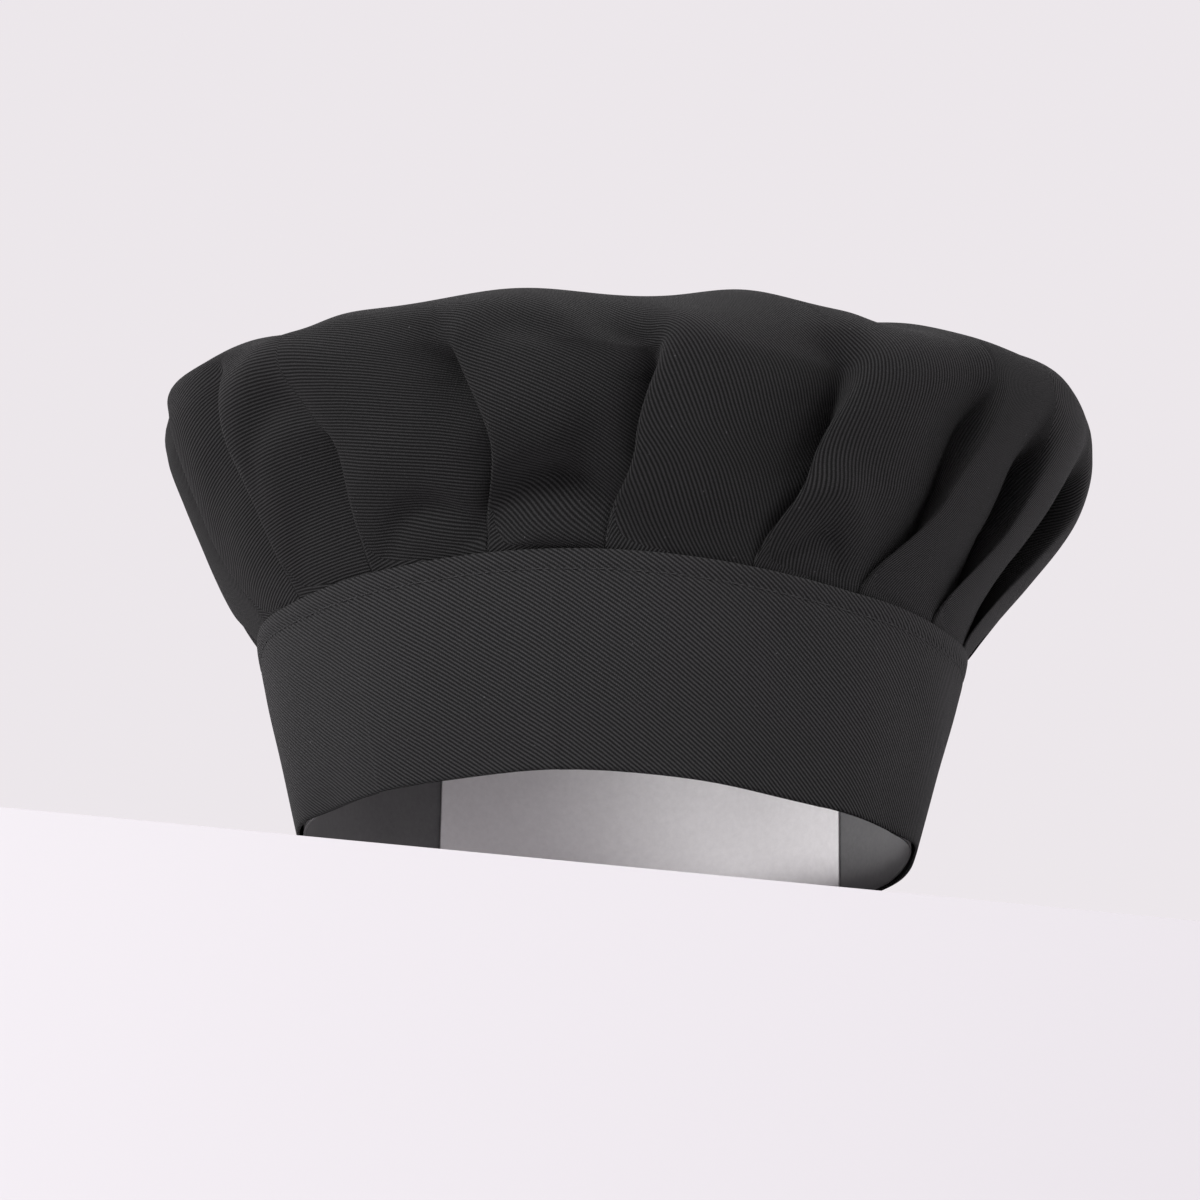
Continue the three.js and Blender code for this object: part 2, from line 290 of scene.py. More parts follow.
def crown_surface():
    """For each point of the pleated crown its angle, its share of the way up and how far it
    stands out, and its place on the flat cut."""
    v = crown_rows()
    outline, length = even_curve(OUTLINES[90], OUTLINE_STEPS, OUTLINE_FINE)
    outline_radius = np.interp(v, np.linspace(0, 1, OUTLINE_STEPS), outline[:, 0]) * MM
    step_at = np.interp(v * length, STEP_PLACES, STEP_DEPTHS) * MM
    soft_at = np.interp(v * length, SOFT_PLACES, SOFT_WIDTHS) * MM
    cut_radius = DISC_RADIUS * (1 - v)
    folds = np.array(FOLDS)
    spans = np.diff(np.r_[folds, folds[0] + 360])
    reach = SPAN_SHARE * spans + (1 - SPAN_SHARE) * 360 / len(folds)
    middles = np.radians(folds[0] + np.cumsum(reach) - reach + SPAN_SHARE * spans / 2)
    part = np.arange(COLUMNS_PER_PLEAT) / COLUMNS_PER_PLEAT
    points = np.empty((ROWS, COLUMNS, 3))
    cloth = np.empty((ROWS, COLUMNS, 2))
    for i in range(ROWS):
        around = 2 * math.pi * max(outline_radius[i], 0.1 * MM)
        spare = max(2 * math.pi * cut_radius[i] - around, 0.0005 * around)
        keep = [1 - FADE_SHARE * smooth(v[i], low, high) for *_, low, high in FOLD_TABLE]
        # each pleat takes up spare cloth at the fold it ends under
        ending = np.roll(keep, -1)
        tucks = np.minimum(spare / 2 / len(folds), MOST_TUCK) * ending
        visible = around * spans / 360
        along = (visible + 2 * tucks)[:, None] * part
        starts = np.r_[0, np.cumsum(visible + 2 * tucks)]
        whole = starts[-1]
        deep = step_at[i] * relief(folds + spans) * ending
        run = np.arange(ROW_SAMPLES) * whole / ROW_SAMPLES
        columns = (starts[:-1, None] + along).ravel()
        place, drift, out = row_of_pleats(around, starts, visible, tucks, deep)
        drift, out = [
            np.interp(columns, run, softened(np.interp(run, place, values), run[1], soft_at[i]), period=whole)
            for values in (drift, out)]
        angle = folds[0] + 360 * (columns * around / whole + drift) / around
        points[i] = np.stack([angle, np.full(COLUMNS, v[i]), out], axis=1)
        half = visible / 2 / max(cut_radius[i], 1 * MM)
        cut = grain_angles(middles, half, along, visible, tucks)
        cloth[i] = cut_radius[i] * np.stack([np.sin(cut), -np.cos(cut)], axis=1)
    return points, cloth


def lean(angle, v):
    """How far the cloth has swung round on its way up, in degrees: as the folds on either side
    of it have, and back again over the top."""
    low = np.interp(angle, FOLDS, [row[1] for row in FOLD_TABLE], period=360)
    high = np.interp(angle, FOLDS, [row[2] for row in FOLD_TABLE], period=360)
    back = 8.5 - 2.5 * np.sin(np.radians(angle))
    middle = smooth(v, 0.15, 0.31)
    swing = low * smooth(v, 0, 0.15) * (1 - middle) + high * middle * (1 - smooth(v, 0.6, 0.95))
    return swing - back * smooth(v, 0.3, 0.56)


# Places where the cloth has slumped or puffed: angle, share of the way up, how far round in
# degrees, how far up, and how far out in mm.
SLUMPS = [
    (-9.0, 0.086, 9.0, 0.036, -10.0),
    (-9.5, 0.028, 8.0, 0.026, 3.0),
    (-13.0, 0.190, 7.0, 0.050, 3.5),
    (-4.0, 0.140, 4.0, 0.045, -3.5),
    (-28.0, 0.070, 7.0, 0.024, -3.5),
    (-30.0, 0.150, 7.0, 0.050, 2.5),
    (-47.0, 0.100, 6.0, 0.040, -1.5),
    (-46.0, 0.250, 6.0, 0.030, -4.0),
    (-45.0, 0.320, 8.0, 0.040, 2.5),
    (-64.0, 0.200, 8.0, 0.060, -2.0),
    (-125.0, 0.440, 22.0, 0.120, -2.5),
    (20.0, 0.470, 10.0, 0.090, 5.5),
    (37.0, 0.400, 6.0, 0.050, -3.0),
    (71.0, 0.360, 11.0, 0.060, -3.5),
    (-64.0, 0.390, 9.0, 0.060, -3.0),
    (-18.0, 0.450, 12.0, 0.080, 2.5),
    (-48.0, 0.380, 9.0, 0.070, -4.5),
    (50.0, 0.430, 8.0, 0.070, -3.0),
    (30.0, 0.055, 5.0, 0.020, -2.5),
    (29.0, 0.130, 6.0, 0.035, 3.0),
    (8.0, 0.300, 7.0, 0.060, 2.0),
    (-12.0, 0.320, 6.0, 0.045, -3.5),
    (100.0, 0.070, 7.0, 0.020, -5.0),
    (-100.0, 0.070, 8.0, 0.022, -5.0),
    (141.0, 0.075, 7.0, 0.020, -6.0),
    (-142.0, 0.090, 8.0, 0.022, -5.0),
]


def crown_points():
    """Points of the crown, and their places on the flat cut."""
    data, cloth = crown_surface()
    angle, v, push = data[..., 0], data[..., 1], data[..., 2]
    angle = angle + lean(angle, v)
    r, z = meridians(angle, v)
    step = 0.001
    r_above, z_above = meridians(angle, np.clip(v + step, 0, 1))
    r_below, z_below = meridians(angle, np.clip(v - step, 0, 1))
    size = np.maximum(np.hypot(r_above - r_below, z_above - z_below), 1e-12)
    out_r, out_z = (z_above - z_below) / size, (r_below - r_above) / size
    for at, up, wide, tall, out in SLUMPS:
        arc = up - 0.034 * (turn(angle - at) / wide) ** 2
        push = push + out * MM * bump(turn(angle - at), 0, wide) * bump(v, arc, tall)
    ripple = np.zeros_like(push)
    for around, along, size_mm in RIPPLES:
        phase = rng.uniform(0, 2 * math.pi, 2)
        twist = 2.0 * np.sin(v * along * 2 + phase[1])
        ripple += size_mm * MM * np.sin(np.radians(angle) * around + phase[0] + twist)
    push = push + ripple * smooth(v, 0.08, 0.3) * (1 - smooth(v, 0.6, 0.86))
    # at the seam the cloth is held by the band
    free = smooth(v, 0.0, 0.015)
    r = r + out_r * push * np.where(v < 0.015, 0.35 + 0.65 * free, 1)
    z = z + out_z * push * free
    r = np.maximum(r, 0)
    points = round_head(r, angle, z)
    share = smooth(r, 15 * MM, 105 * MM)[..., None]
    return settled(points) * share + (points + [0, 0, MIDDLE_LIFT]) * (1 - share), cloth


def build_crown(material):
    points, cloth = crown_points()
    # the seam allowance goes straight down between the band's two layers
    down = np.linspace(SEAM_DEPTH, 1 * MM, 4)
    seam = points[0]
    radial = seam * [1, 1, 0]
    radial /= np.linalg.norm(radial, axis=1)[:, None]
    allowance = [seam - radial * (FLARE * d) - [0, 0, d] for d in down]
    points = np.vstack([allowance, points])
    cloth = np.vstack([[cloth[0] * (1 + d / DISC_RADIUS) for d in down], cloth])
    # the last row has shrunk to a point, so it becomes one
    rings = len(points) - 1
    flat = np.vstack([points[:-1].reshape(-1, 3), points[-1].mean(axis=0)])
    uv = np.vstack([cloth[:-1].reshape(-1, 2), [0, 0]])
    last, top = (rings - 1) * COLUMNS, rings * COLUMNS
    cap = [[last + j, last + (j + 1) % COLUMNS, top] for j in range(COLUMNS)]
    faces = grid_faces(rings, COLUMNS, True).tolist() + cap
    return new_object("crown_cloth", mesh_from("crown_cloth", flat, faces, uv), material)


# Materials -----------------------------------------------------------------------------


class Nodes:
    """Small helper that adds and links shader nodes."""

    def __init__(self, name):
        self.material = bpy.data.materials.new(name)
        self.material.use_nodes = True
        self.tree = self.material.node_tree
        self.shader = self.tree.nodes["Principled BSDF"]

    def add(self, kind, inputs=None, **settings):
        node = self.tree.nodes.new(kind)
        for key, value in settings.items():
            setattr(node, key, value)
        for key, value in (inputs or {}).items():
            self.put(value, node.inputs[key])
        return node

    def put(self, value, socket):
        if isinstance(value, bpy.types.NodeSocket):
            self.tree.links.new(value, socket)
        else:
            socket.default_value = value

    def maths(self, operation, *values):
        node = self.tree.nodes.new("ShaderNodeMath")
        node.operation = operation
        for i, value in enumerate(values):
            self.put(value, node.inputs[i])
        return node.outputs[0]

    def total(self, *parts):
        """Sum of sockets, each times its weight."""
        out = None
        for socket, weight in parts:
            part = self.maths("MULTIPLY", socket, weight)
            out = part if out is None else self.maths("ADD", out, part)
        return out

    def wave(self, value, pitch):
        """Sine wave between 0 and 1."""
        sine = self.maths("SINE", self.maths("MULTIPLY", value, 2 * math.pi / pitch))
        return self.maths("ADD", self.maths("MULTIPLY", sine, 0.5), 0.5)

    def mix(self, factor, a, b):
        node = self.tree.nodes.new("ShaderNodeMix")
        node.data_type = "RGBA"
        self.put(factor, node.inputs["Factor"])
        self.put(a, node.inputs[6])
        self.put(b, node.inputs[7])
        return node.outputs[2]

    def noise(self, vector, scale, detail=3.0, roughness=0.55):
        inputs = {"Vector": vector, "Scale": scale, "Detail": detail, "Roughness": roughness}
        return self.add("ShaderNodeTexNoise", inputs).outputs["Fac"]

    def ramp(self, value, low, high, out_low=0.0, out_high=1.0):
        inputs = {"Value": value, "From Min": low, "From Max": high, "To Min": out_low, "To Max": out_high}
        return self.add("ShaderNodeMapRange", inputs).outputs["Result"]

    def bump(self, height, distance, strength=1.0, normal=None):
        inputs = {"Height": height, "Distance": distance, "Strength": strength}
        if normal is not None:
            inputs["Normal"] = normal
        return self.add("ShaderNodeBump", inputs).outputs["Normal"]

    def finish(self, colour, roughness, normal=None, sheen=0.0, sheen_roughness=0.5, specular=0.5):
        self.put(colour, self.shader.inputs["Base Color"])
        self.put(roughness, self.shader.inputs["Roughness"])
        if normal is not None:
            self.put(normal, self.shader.inputs["Normal"])
        self.shader.inputs["Sheen Weight"].default_value = sheen
        self.shader.inputs["Sheen Roughness"].default_value = sheen_roughness
        self.shader.inputs["Specular IOR Level"].default_value = specular
        return self.material


def twill(name, dark, light, pitch, grain):
    """Fine twill: diagonal ribs across the cloth's own flat coordinates, in metres; grain is
    the angle across the ribs, in degrees."""
    run, rise = math.cos(math.radians(grain)), math.sin(math.radians(grain))
    n = Nodes(name)
    uv = n.add("ShaderNodeUVMap", uv_map="cloth").outputs["UV"]
    axes = n.add("ShaderNodeSeparateXYZ", {0: uv})
    x, y = axes.outputs["X"], axes.outputs["Y"]
    place = n.add("ShaderNodeTexCoord").outputs["Object"]
    # ribs that wander a little, each made of short slanting threads
    wander = n.maths("SUBTRACT", n.noise(uv, 45.0, 2.0), 0.5)
    across = n.total((x, run), (y, rise), (wander, 0.9 * MM))
    along = n.total((x, rise), (y, -run))
    rib = n.wave(across, pitch)
    thread = n.wave(n.total((along, 1.0), (across, 0.35)), 0.62 * pitch)
    fuzz = n.noise(place, 2600.0, 2.0, 0.7)
    height = n.total((rib, 0.72), (n.maths("MULTIPLY", thread, rib), 0.28), (fuzz, 0.35))
    normal = n.bump(n.noise(place, 38.0, 3.0), 0.6 * MM, 0.5)
    normal = n.bump(height, 0.36 * MM, 1.0, normal)
    patch = n.noise(place, 22.0, 3.0)
    heather = n.noise(uv, 1500.0, 1.0)
    # colour follows the rib height: darker in the grooves between ribs as painted shade, mixed with the
    # cloth's own random tone
    tone = n.total((height, 0.6), (patch, 0.12), (heather, 0.35))
    colour = n.mix(n.ramp(tone, 0.4, 0.85), dark, light)
    lint = n.ramp(n.noise(place, 900.0, 0.0), 0.86, 0.92)
    colour = n.mix(n.maths("MULTIPLY", lint, 0.12), colour, (0.35, 0.35, 0.36, 1))
    rough = n.ramp(height, 0.0, 1.2, 0.92, 0.74)
    return n.finish(colour, rough, normal, sheen=0.035, sheen_roughness=0.35, specular=0.16)


def simple_finish(name, low, high, roughness, scale, depth, sheen=0.0):
    """Plain material with fine grain: two tones, mottled, with a little relief."""
    n = Nodes(name)
    place = n.add("ShaderNodeTexCoord").outputs["Object"]
    grain = n.noise(place, scale, 4.0, 0.65)
    tone = n.total((grain, 0.6), (n.noise(place, scale / 18, 2.0), 0.4))
    colour = n.mix(n.ramp(tone, 0.35, 0.65), low, high)
    normal = n.bump(grain, depth, 0.8)
    rough = n.ramp(grain, 0.3, 0.7, roughness - 0.06, roughness + 0.06)
    return n.finish(colour, rough, normal, sheen=sheen)


# Band, closure and trim ----------------------------------------------------------------


def lift(degrees):
    """How far the standing hat's rim and seam rise from the table, round the front."""
    a = np.radians(np.asarray(degrees, float))
    front = smooth(np.cos(a), -0.35, 0.35)
    wave = 3.2 - 1.1 * np.sin(a) - 1.4 * np.sin(2 * a) - 1.2 * np.cos(2 * a) + 2.0 * np.cos(3 * a)
    return np.maximum(front * wave, 0) * MM


def settled(points):
    """Shifts points of the band and crown by the lift at their angle."""
    angle = np.degrees(np.arctan2(points[..., 0], -points[..., 1]))
    out = points.copy()
    out[..., 2] += lift(angle)
    return out


def strip(name, section, start, stop, columns, material, out_at):
    """Cloth made by sweeping a section of (outwards, up) points round the head; out_at(angle, up)
    moves each point outwards. Its UV is laid out flat: length round the head, then section."""
    angles = np.linspace(start, stop, columns)
    section = np.array(section, float)
    run = np.r_[0, np.cumsum(np.linalg.norm(np.diff(section, axis=0), axis=1))]
    a, out = np.meshgrid(angles, section[:, 0], indexing="ij")
    _, up = np.meshgrid(angles, section[:, 1], indexing="ij")
    points = settled(round_head(band_radius(up) + out + out_at(a, up), a, up))
    length = np.radians(angles - start) * (RIM_RADIUS + SEAM_RADIUS) / 2
    uv = np.stack(np.meshgrid(length, run[-1] - run, indexing="ij"), axis=-1)
    faces = grid_faces(len(angles), len(section), False)
    return new_object(name, mesh_from(name, points, faces, uv), material)


def thick(obj, thickness, offset=0.0):
    """Gives a sheet its cloth's thickness."""
    solid = obj.modifiers.new("cloth thickness", "SOLIDIFY")
    solid.thickness = thickness
    solid.offset = offset
    return obj


SECTION_FINE = 16


def band_section():
    """The folded strip, from the allowance turned in at the outer upper edge, down the outside
    past the groove that the stitching pulls in, round the rim and up the inside."""
    outside = [
        (-0.75, 52), (-0.72, 58), (-0.62, 61.4), (-0.3, 61.9), (0.0, 61.4), (0.14, 59.5), (0.06, 57.4),
        (-0.34, 56.0), (0.0, 54.4), (0.03, 48), (0.0, 30), (0.0, 12), (0.0, 4), (0.0, 1.0),
        (-0.15, 0.3), (-0.45, 0.12), (-0.75, 0.3), (-0.9, 1.0),
    ]
    inside = [
        (-1.2, 4), (-2.2, 11), (-3.0, 22), (-3.0, 48), (-2.9, 56), (-3.05, 60), (-2.7, 61.8),
        (-2.35, 60.5), (-2.3, 52),
    ]
    return even_curve(outside + inside, 150, SECTION_FINE)[0] * MM


# Soft upright creases where the band has been pressed flat between them.
CREASES = [-180, -128, -100, -74, -46, -9, 19, 44, 72, 101, 131, 180]


def flats(angle):
    """Outward push, in mm, of a band that runs nearly straight from crease to crease."""
    creases = np.array(CREASES, float)
    t = turn(angle)
    k = np.clip(np.searchsorted(creases, t, side="right") - 1, 0, len(creases) - 2)
    share = (t - creases[k]) / (creases[k + 1] - creases[k])
    sag = (creases[k + 1] - creases[k]) ** 2 * 0.0019
    return 0.34 * sag * np.cos(2 * math.pi * share)


def band_wobble(angle, up):
    """The soft band isn't a true cone: broad waves, faint facets at the rim, puckered stitching."""
    a = np.radians(angle)
    quiet = smooth(np.abs(turn(angle - BACK)), 12, 60)
    waves = 0.9 * np.sin(3 * a + 0.6) + 0.6 * np.sin(5 * a + 2.1) + 0.35 * np.sin(9 * a + 1.0)
    facets = flats(angle) * (0.25 + 0.75 * np.clip(1 - up / (45 * MM), 0, 1))
    curl = -1.5 * bump(turn(angle + 68), 0, 9) * np.clip(1 - up / (12 * MM), 0, 1) ** 2
    near_stitch = bump(up, BAND_HEIGHT - STITCH_DROP, 3.2 * MM)
    pucker = 0.12 * np.sin(angle * 2 * math.pi / 1.9 + 1.7 * np.sin(7 * a)) * near_stitch
    slack = 0.25 * np.sin(a * 14 + up / MM / 9.0) * bump(up, 44 * MM, 16 * MM)
    broad = waves * (0.35 + 0.65 * (1 - up / BAND_HEIGHT)) + facets + curl + slack
    return (broad * quiet + pucker) * MM


FORMER_PRESS = 1.9 * MM         # how far the former has sprung out beyond its drawn radius
CARD_THICKNESS = 0.5 * MM


def build_band(material):
    band_cloth = strip("band_cloth", band_section(), BAND_FROM, BAND_TO, 720, material, band_wobble)
    return thick(band_cloth, 0.4 * MM, -1.0)


def build_interlining(material):
    """Stiff non-woven strip between the band's two layers."""
    section = [(-1.4 * MM, z * MM) for z in np.linspace(12, 50, 12)]
    start, stop = BAND_FROM + 0.6, BAND_TO - 0.6
    felt_strip = strip("band_interlining_felt", section, start, stop, 360, material, band_wobble)
    return thick(felt_strip, 0.4 * MM)


def tube_faces(base, rings, sides):
    """Faces of a closed tube whose points start at base, ring after ring."""
    faces = (grid_faces(rings, sides, True) + base).tolist()
    faces.append([base + k for k in range(sides)][::-1])
    faces.append([base + (rings - 1) * sides + k for k in range(sides)])
    return faces


def stitch_run(name, places, normals, radius, material, sink):
    """Lockstitches: each is a short thread that rises from the cloth and dips back into it."""
    sides, steps = 6, 7
    points, faces = [], []
    for a, b, normal in zip(places, places[1:], normals):
        size = np.linalg.norm(b - a)
        way = (b - a) / size
        out = normal - way * normal.dot(way)
        out /= np.linalg.norm(out)
        side = np.cross(way, out)
        base = len(points)
        for t in np.linspace(0, 1, steps):
            rise = radius * (1.5 * math.sin(math.pi * t) - sink * 2)
            centre = a + way * size * (0.06 + 0.88 * t) + out * rise
            thin = radius * (0.45 + 0.55 * math.sin(math.pi * min(max(t, 0.08), 0.92)))
            for k in range(sides):
                q = 2 * math.pi * k / sides
                points.append(centre + thin * (math.cos(q) * out + math.sin(q) * side))
        faces += tube_faces(base, steps, sides)
    mesh = mesh_from(name, points, faces)
    fix_normals(mesh)
    return new_object(name, mesh, material)


def wall_normal(angle):
    a = math.radians(angle)
    out = np.array([math.sin(a), -math.cos(a), -FLARE])
    return out / np.linalg.norm(out)


def build_topstitch(material):
    count = int(math.radians(BAND_TO - BAND_FROM) * SEAM_RADIUS / STITCH)
    angles = np.linspace(BAND_FROM, BAND_TO, count)
    up = np.full(count, BAND_HEIGHT - STITCH_DROP)
    out = -0.28 * MM + band_wobble(angles, up)
    places = settled(round_head(band_radius(up) + out, angles, up))
    normals = [wall_normal(a) for a in angles]
    return stitch_run("band_topstitch_thread", places, normals, 0.2 * MM, material, 0.35)


TAB_FROM, TAB_TO = 172.0, 210.0
TAB_LOW, TAB_HIGH = 9 * MM, 53 * MM
TAB_THICKNESS = 2.6 * MM
TAPE = 0.9 * MM
GAP = 0.3 * MM


def tab_lift(angle):
    return GAP + smooth(angle, TAB_FROM, TAB_FROM + 10) * 2 * (TAPE + GAP)


def build_tab(material):
    """The lapping end: one padded-looking strip, turned in round its edges."""
    rows, columns = 56, 96
    uu, vv = np.meshgrid(np.linspace(-1, 1, columns), np.linspace(-1, 1, rows), indexing="xy")
    # rounded free corners, square root edge
    corner = 0.16
    half_height = (TAB_HIGH - TAB_LOW) / 2
    half_length = (TAB_TO - TAB_FROM) / 2
    edge_u = np.clip((uu - (1 - corner)) / corner, 0, 1)
    squeeze = 1 - 0.17 * (1 - np.sqrt(np.clip(1 - edge_u**2, 0, 1)))
    angle = (TAB_FROM + TAB_TO) / 2 + uu * half_length
    z = (TAB_HIGH + TAB_LOW) / 2 + vv * half_height * squeeze
    # full in the middle, closed at the edges, with a channel under the edge stitching
    full = (np.clip(1 - np.abs(uu) ** 22, 0, 1) * np.clip(1 - np.abs(vv) ** 14, 0, 1)) ** 0.5
    from_end = (1 - np.abs(uu)) * half_length * BAND_MM_PER_DEGREE
    from_side = (1 - np.abs(vv)) * half_height / MM
    channel = -0.22 * MM * bump(np.minimum(from_end, from_side), 4.5, 1.3)
    half = (TAB_THICKNESS / 2 + channel) * full
    core = tab_lift(angle) + TAB_THICKNESS / 2
    wave = 0.25 * MM * np.sin(uu * 7 + vv * 2.2)
    radius = band_radius(z) + core
    outer = round_head(radius + half + wave, angle, z)
    inner = round_head(radius - half, angle, z)
    flat = np.stack([np.radians(angle) * RIM_RADIUS * 1.08, z * 1.03], axis=-1)
    quads = grid_faces(rows, columns, False)
    faces = np.vstack([quads, quads[:, ::-1] + rows * columns])
    mesh = mesh_from("tab_cloth", np.stack([outer, inner]), faces, np.stack([flat, flat * [1, -1]]))
    bm = bmesh.new()
    bm.from_mesh(mesh)
    bmesh.ops.remove_doubles(bm, verts=bm.verts, dist=0.02 * MM)
    bmesh.ops.dissolve_degenerate(bm, edges=bm.edges, dist=0.005 * MM)
    bmesh.ops.recalc_face_normals(bm, faces=bm.faces)
    bm.to_mesh(mesh)
    bm.free()
    mesh.shade_smooth()
    return new_object("tab_cloth", mesh, material)


def tab_place(angle, z):
    """A point just inside the tab's outer face."""
    return round_head(band_radius(z) + tab_lift(angle) + TAB_THICKNESS - 0.15 * MM, angle, z)


def build_tab_stitching(material):
    """Edge row round the tab and a box over the hook tape."""
    inset = 4.5 * MM
    turned_in = inset / MM / BAND_MM_PER_DEGREE
    box_inset = 6.2 * MM
    loops = [
        (TAB_FROM + turned_in, TAB_TO - turned_in, TAB_LOW + inset, TAB_HIGH - inset),
        (185.2, 206.4, TAB_LOW + box_inset, TAB_HIGH - box_inset),
    ]
    pieces = []
    for start, stop, low, high in loops:
        corners = [(start, low), (stop, low), (stop, high), (start, high), (start, low)]
        places, normals = [], []
        for (a0, z0), (a1, z1) in zip(corners, corners[1:]):
            size = max(abs(a1 - a0) * BAND_MM_PER_DEGREE * MM, abs(z1 - z0))
            count = max(2, round(size / STITCH))
            for t in np.arange(count) / count:
                angle = a0 + (a1 - a0) * t
                places.append(tab_place(angle, z0 + (z1 - z0) * t))
                normals.append(wall_normal(angle))
        places.append(places[0])
        pieces.append(stitch_run("tab_row", places, normals, 0.26 * MM, None, 0.1))
    return joined("tab_stitching_thread", pieces, material)


def joined(name, pieces, material):
    """One object from several, without operators."""
    bm = bmesh.new()
    for piece in pieces:
        bm.from_mesh(piece.data)
        bpy.data.objects.remove(piece)
    mesh = bpy.data.meshes.new(name)
    bm.to_mesh(mesh)
    bm.free()
    mesh.shade_smooth()
    return new_object(name, mesh, material)


def build_label(material):
    """Blank woven label, folded double and sewn into the seam; it hangs a little off the band."""
    start, stop = -156.0, -146.0
    section = [
        (-3.3, 57), (-3.45, 50), (-3.9, 40), (-4.3, 33), (-4.5, 31.2), (-4.75, 31.4), (-4.7, 33),
        (-4.4, 40), (-4.05, 50), (-3.9, 57),
    ]
    section = even_curve(section, 60, SECTION_FINE)[0] * MM

    def hang(angle, up):
        curl = bump(turn(angle - stop), 0, 2.5) + bump(turn(angle - start), 0, 2.5)
        return -0.5 * MM * curl * (57 * MM - up) / (26 * MM)

    return thick(strip("size_label_cloth", section, start, stop, 24, material, hang), 0.22 * MM)


def build_card(name, radius, start, stop, top, steps, inner, outer):
    """Rolled card with crisp cut edges; each face takes its own material, and on the ring the inner face is
    white card with painted shade.
    """
    low, levels = 0.5 * MM, 12
    a, z = np.meshgrid(np.linspace(start, stop, steps), np.linspace(low, top, levels), indexing="ij")
    z = z + (lift(a) + 0.6 * MM) * (top - z) / (top - low)
    r = radius + former_wobble(a)
    points = np.stack([round_head(r, a, z), round_head(r - CARD_THICKNESS, a, z)])
    count = steps * levels
    quads = grid_faces(steps, levels, False)
    # points once round the card's edge, which join its two faces
    edge = [i * levels for i in range(steps)]
    edge += [(steps - 1) * levels + j for j in range(1, levels)]
    edge += [i * levels + levels - 1 for i in range(steps - 2, -1, -1)]
    edge += list(range(levels - 2, 0, -1))
    rim = [[q, p, p + count, q + count] for p, q in zip(edge, edge[1:] + edge[:1])]
    mesh = mesh_from(name, points, np.vstack([quads, quads[:, ::-1] + count, rim]))
    fix_normals(mesh)
    obj = new_object(name, mesh, outer)
    mesh.materials.append(inner)
    for polygon in mesh.polygons:
        polygon.material_index = int(polygon.index >= len(quads))
        polygon.use_smooth = polygon.index < 2 * len(quads)
    mark_sharp_rim(mesh)
    return obj


def mark_sharp_rim(mesh):
    bm = bmesh.new()
    bm.from_mesh(mesh)
    for edge in bm.edges:
        if len(edge.link_faces) == 2 and edge.calc_face_angle() > 1.0:
            edge.smooth = False
    bm.to_mesh(mesh)
    bm.free()


def former_wobble(angle):
    """The rolled card springs out against the band's rim and takes on its shape, smoothed."""
    near = sum(band_wobble(angle + d, np.zeros_like(angle)) for d in (-12, -8, -4, 0, 4, 8, 12)) / 7
    return near + FORMER_PRESS - 0.4 * MM * bump(turn(angle - 60), 0, 30)


TAPE_FROM, TAPE_TO = 184, 208
TAPE_LOW, TAPE_HIGH = 14 * MM, 48 * MM
TAPE_GROUND = 0.45 * MM
PILE_PITCH = 1.15 * MM
PILE_HEIGHT = 0.42 * MM
PILE_REACH = 0.36 * MM
PILE_WIRE = 0.11 * MM


def pile_tape(name, inner, material, face, spread, sweep, seed):
    """Tape with rows of small loops or hooks standing on it, towards face (1 outwards, -1
    inwards); spread is how far they turn at random and sweep how much of a half circle they are."""
    draw = np.random.default_rng(seed)
    arc = math.radians(TAPE_TO - TAPE_FROM) * (RIM_RADIUS + 10 * MM)
    across, up = int(arc / PILE_PITCH), int((TAPE_HIGH - TAPE_LOW) / PILE_PITCH)
    sides, steps = 4, 5
    points, faces = [], []
    for i, j in np.ndindex(across, up):
        angle = TAPE_FROM + (TAPE_TO - TAPE_FROM) * (i + 0.5 + draw.uniform(-0.2, 0.2)) / across
        z = TAPE_LOW + (TAPE_HIGH - TAPE_LOW) * (j + 0.5 + draw.uniform(-0.2, 0.2)) / up
        spin = draw.uniform(-spread, spread)
        a = math.radians(angle)
        out = np.array([math.sin(a), -math.cos(a), 0]) * face
        way = np.array([math.cos(a) * math.cos(spin), math.sin(a) * math.cos(spin), math.sin(spin)])
        flat_side = np.cross(way, out) * face
        foot = round_head(band_radius(z) + inner, angle, z)
        base = len(points)
        for t in np.linspace(0, math.pi * sweep, steps):
            centre = foot + way * PILE_REACH * math.cos(t) + out * PILE_HEIGHT * math.sin(t)
            side = np.cross(out * math.cos(t) - way * math.sin(t), flat_side)
            for k in range(sides):
                q = 2 * math.pi * k / sides
                points.append(centre + PILE_WIRE * (math.cos(q) * side + math.sin(q) * flat_side))
        faces += tube_faces(base, steps, sides)[:-2]
    # the tape that they stand on
    base, ground_steps = len(points), 40
    ground = -face * TAPE_GROUND
    section = [(0, TAPE_LOW), (0, TAPE_HIGH), (ground, TAPE_HIGH), (ground, TAPE_LOW)]
    for angle in np.linspace(TAPE_FROM, TAPE_TO, ground_steps):
        for out, z in section:
            points.append(round_head(band_radius(z) + inner + out, angle, z))
    faces += tube_faces(base, ground_steps, len(section))
    mesh = mesh_from(name, points, faces, soft=False)
    fix_normals(mesh)
    return new_object(name, mesh, material)


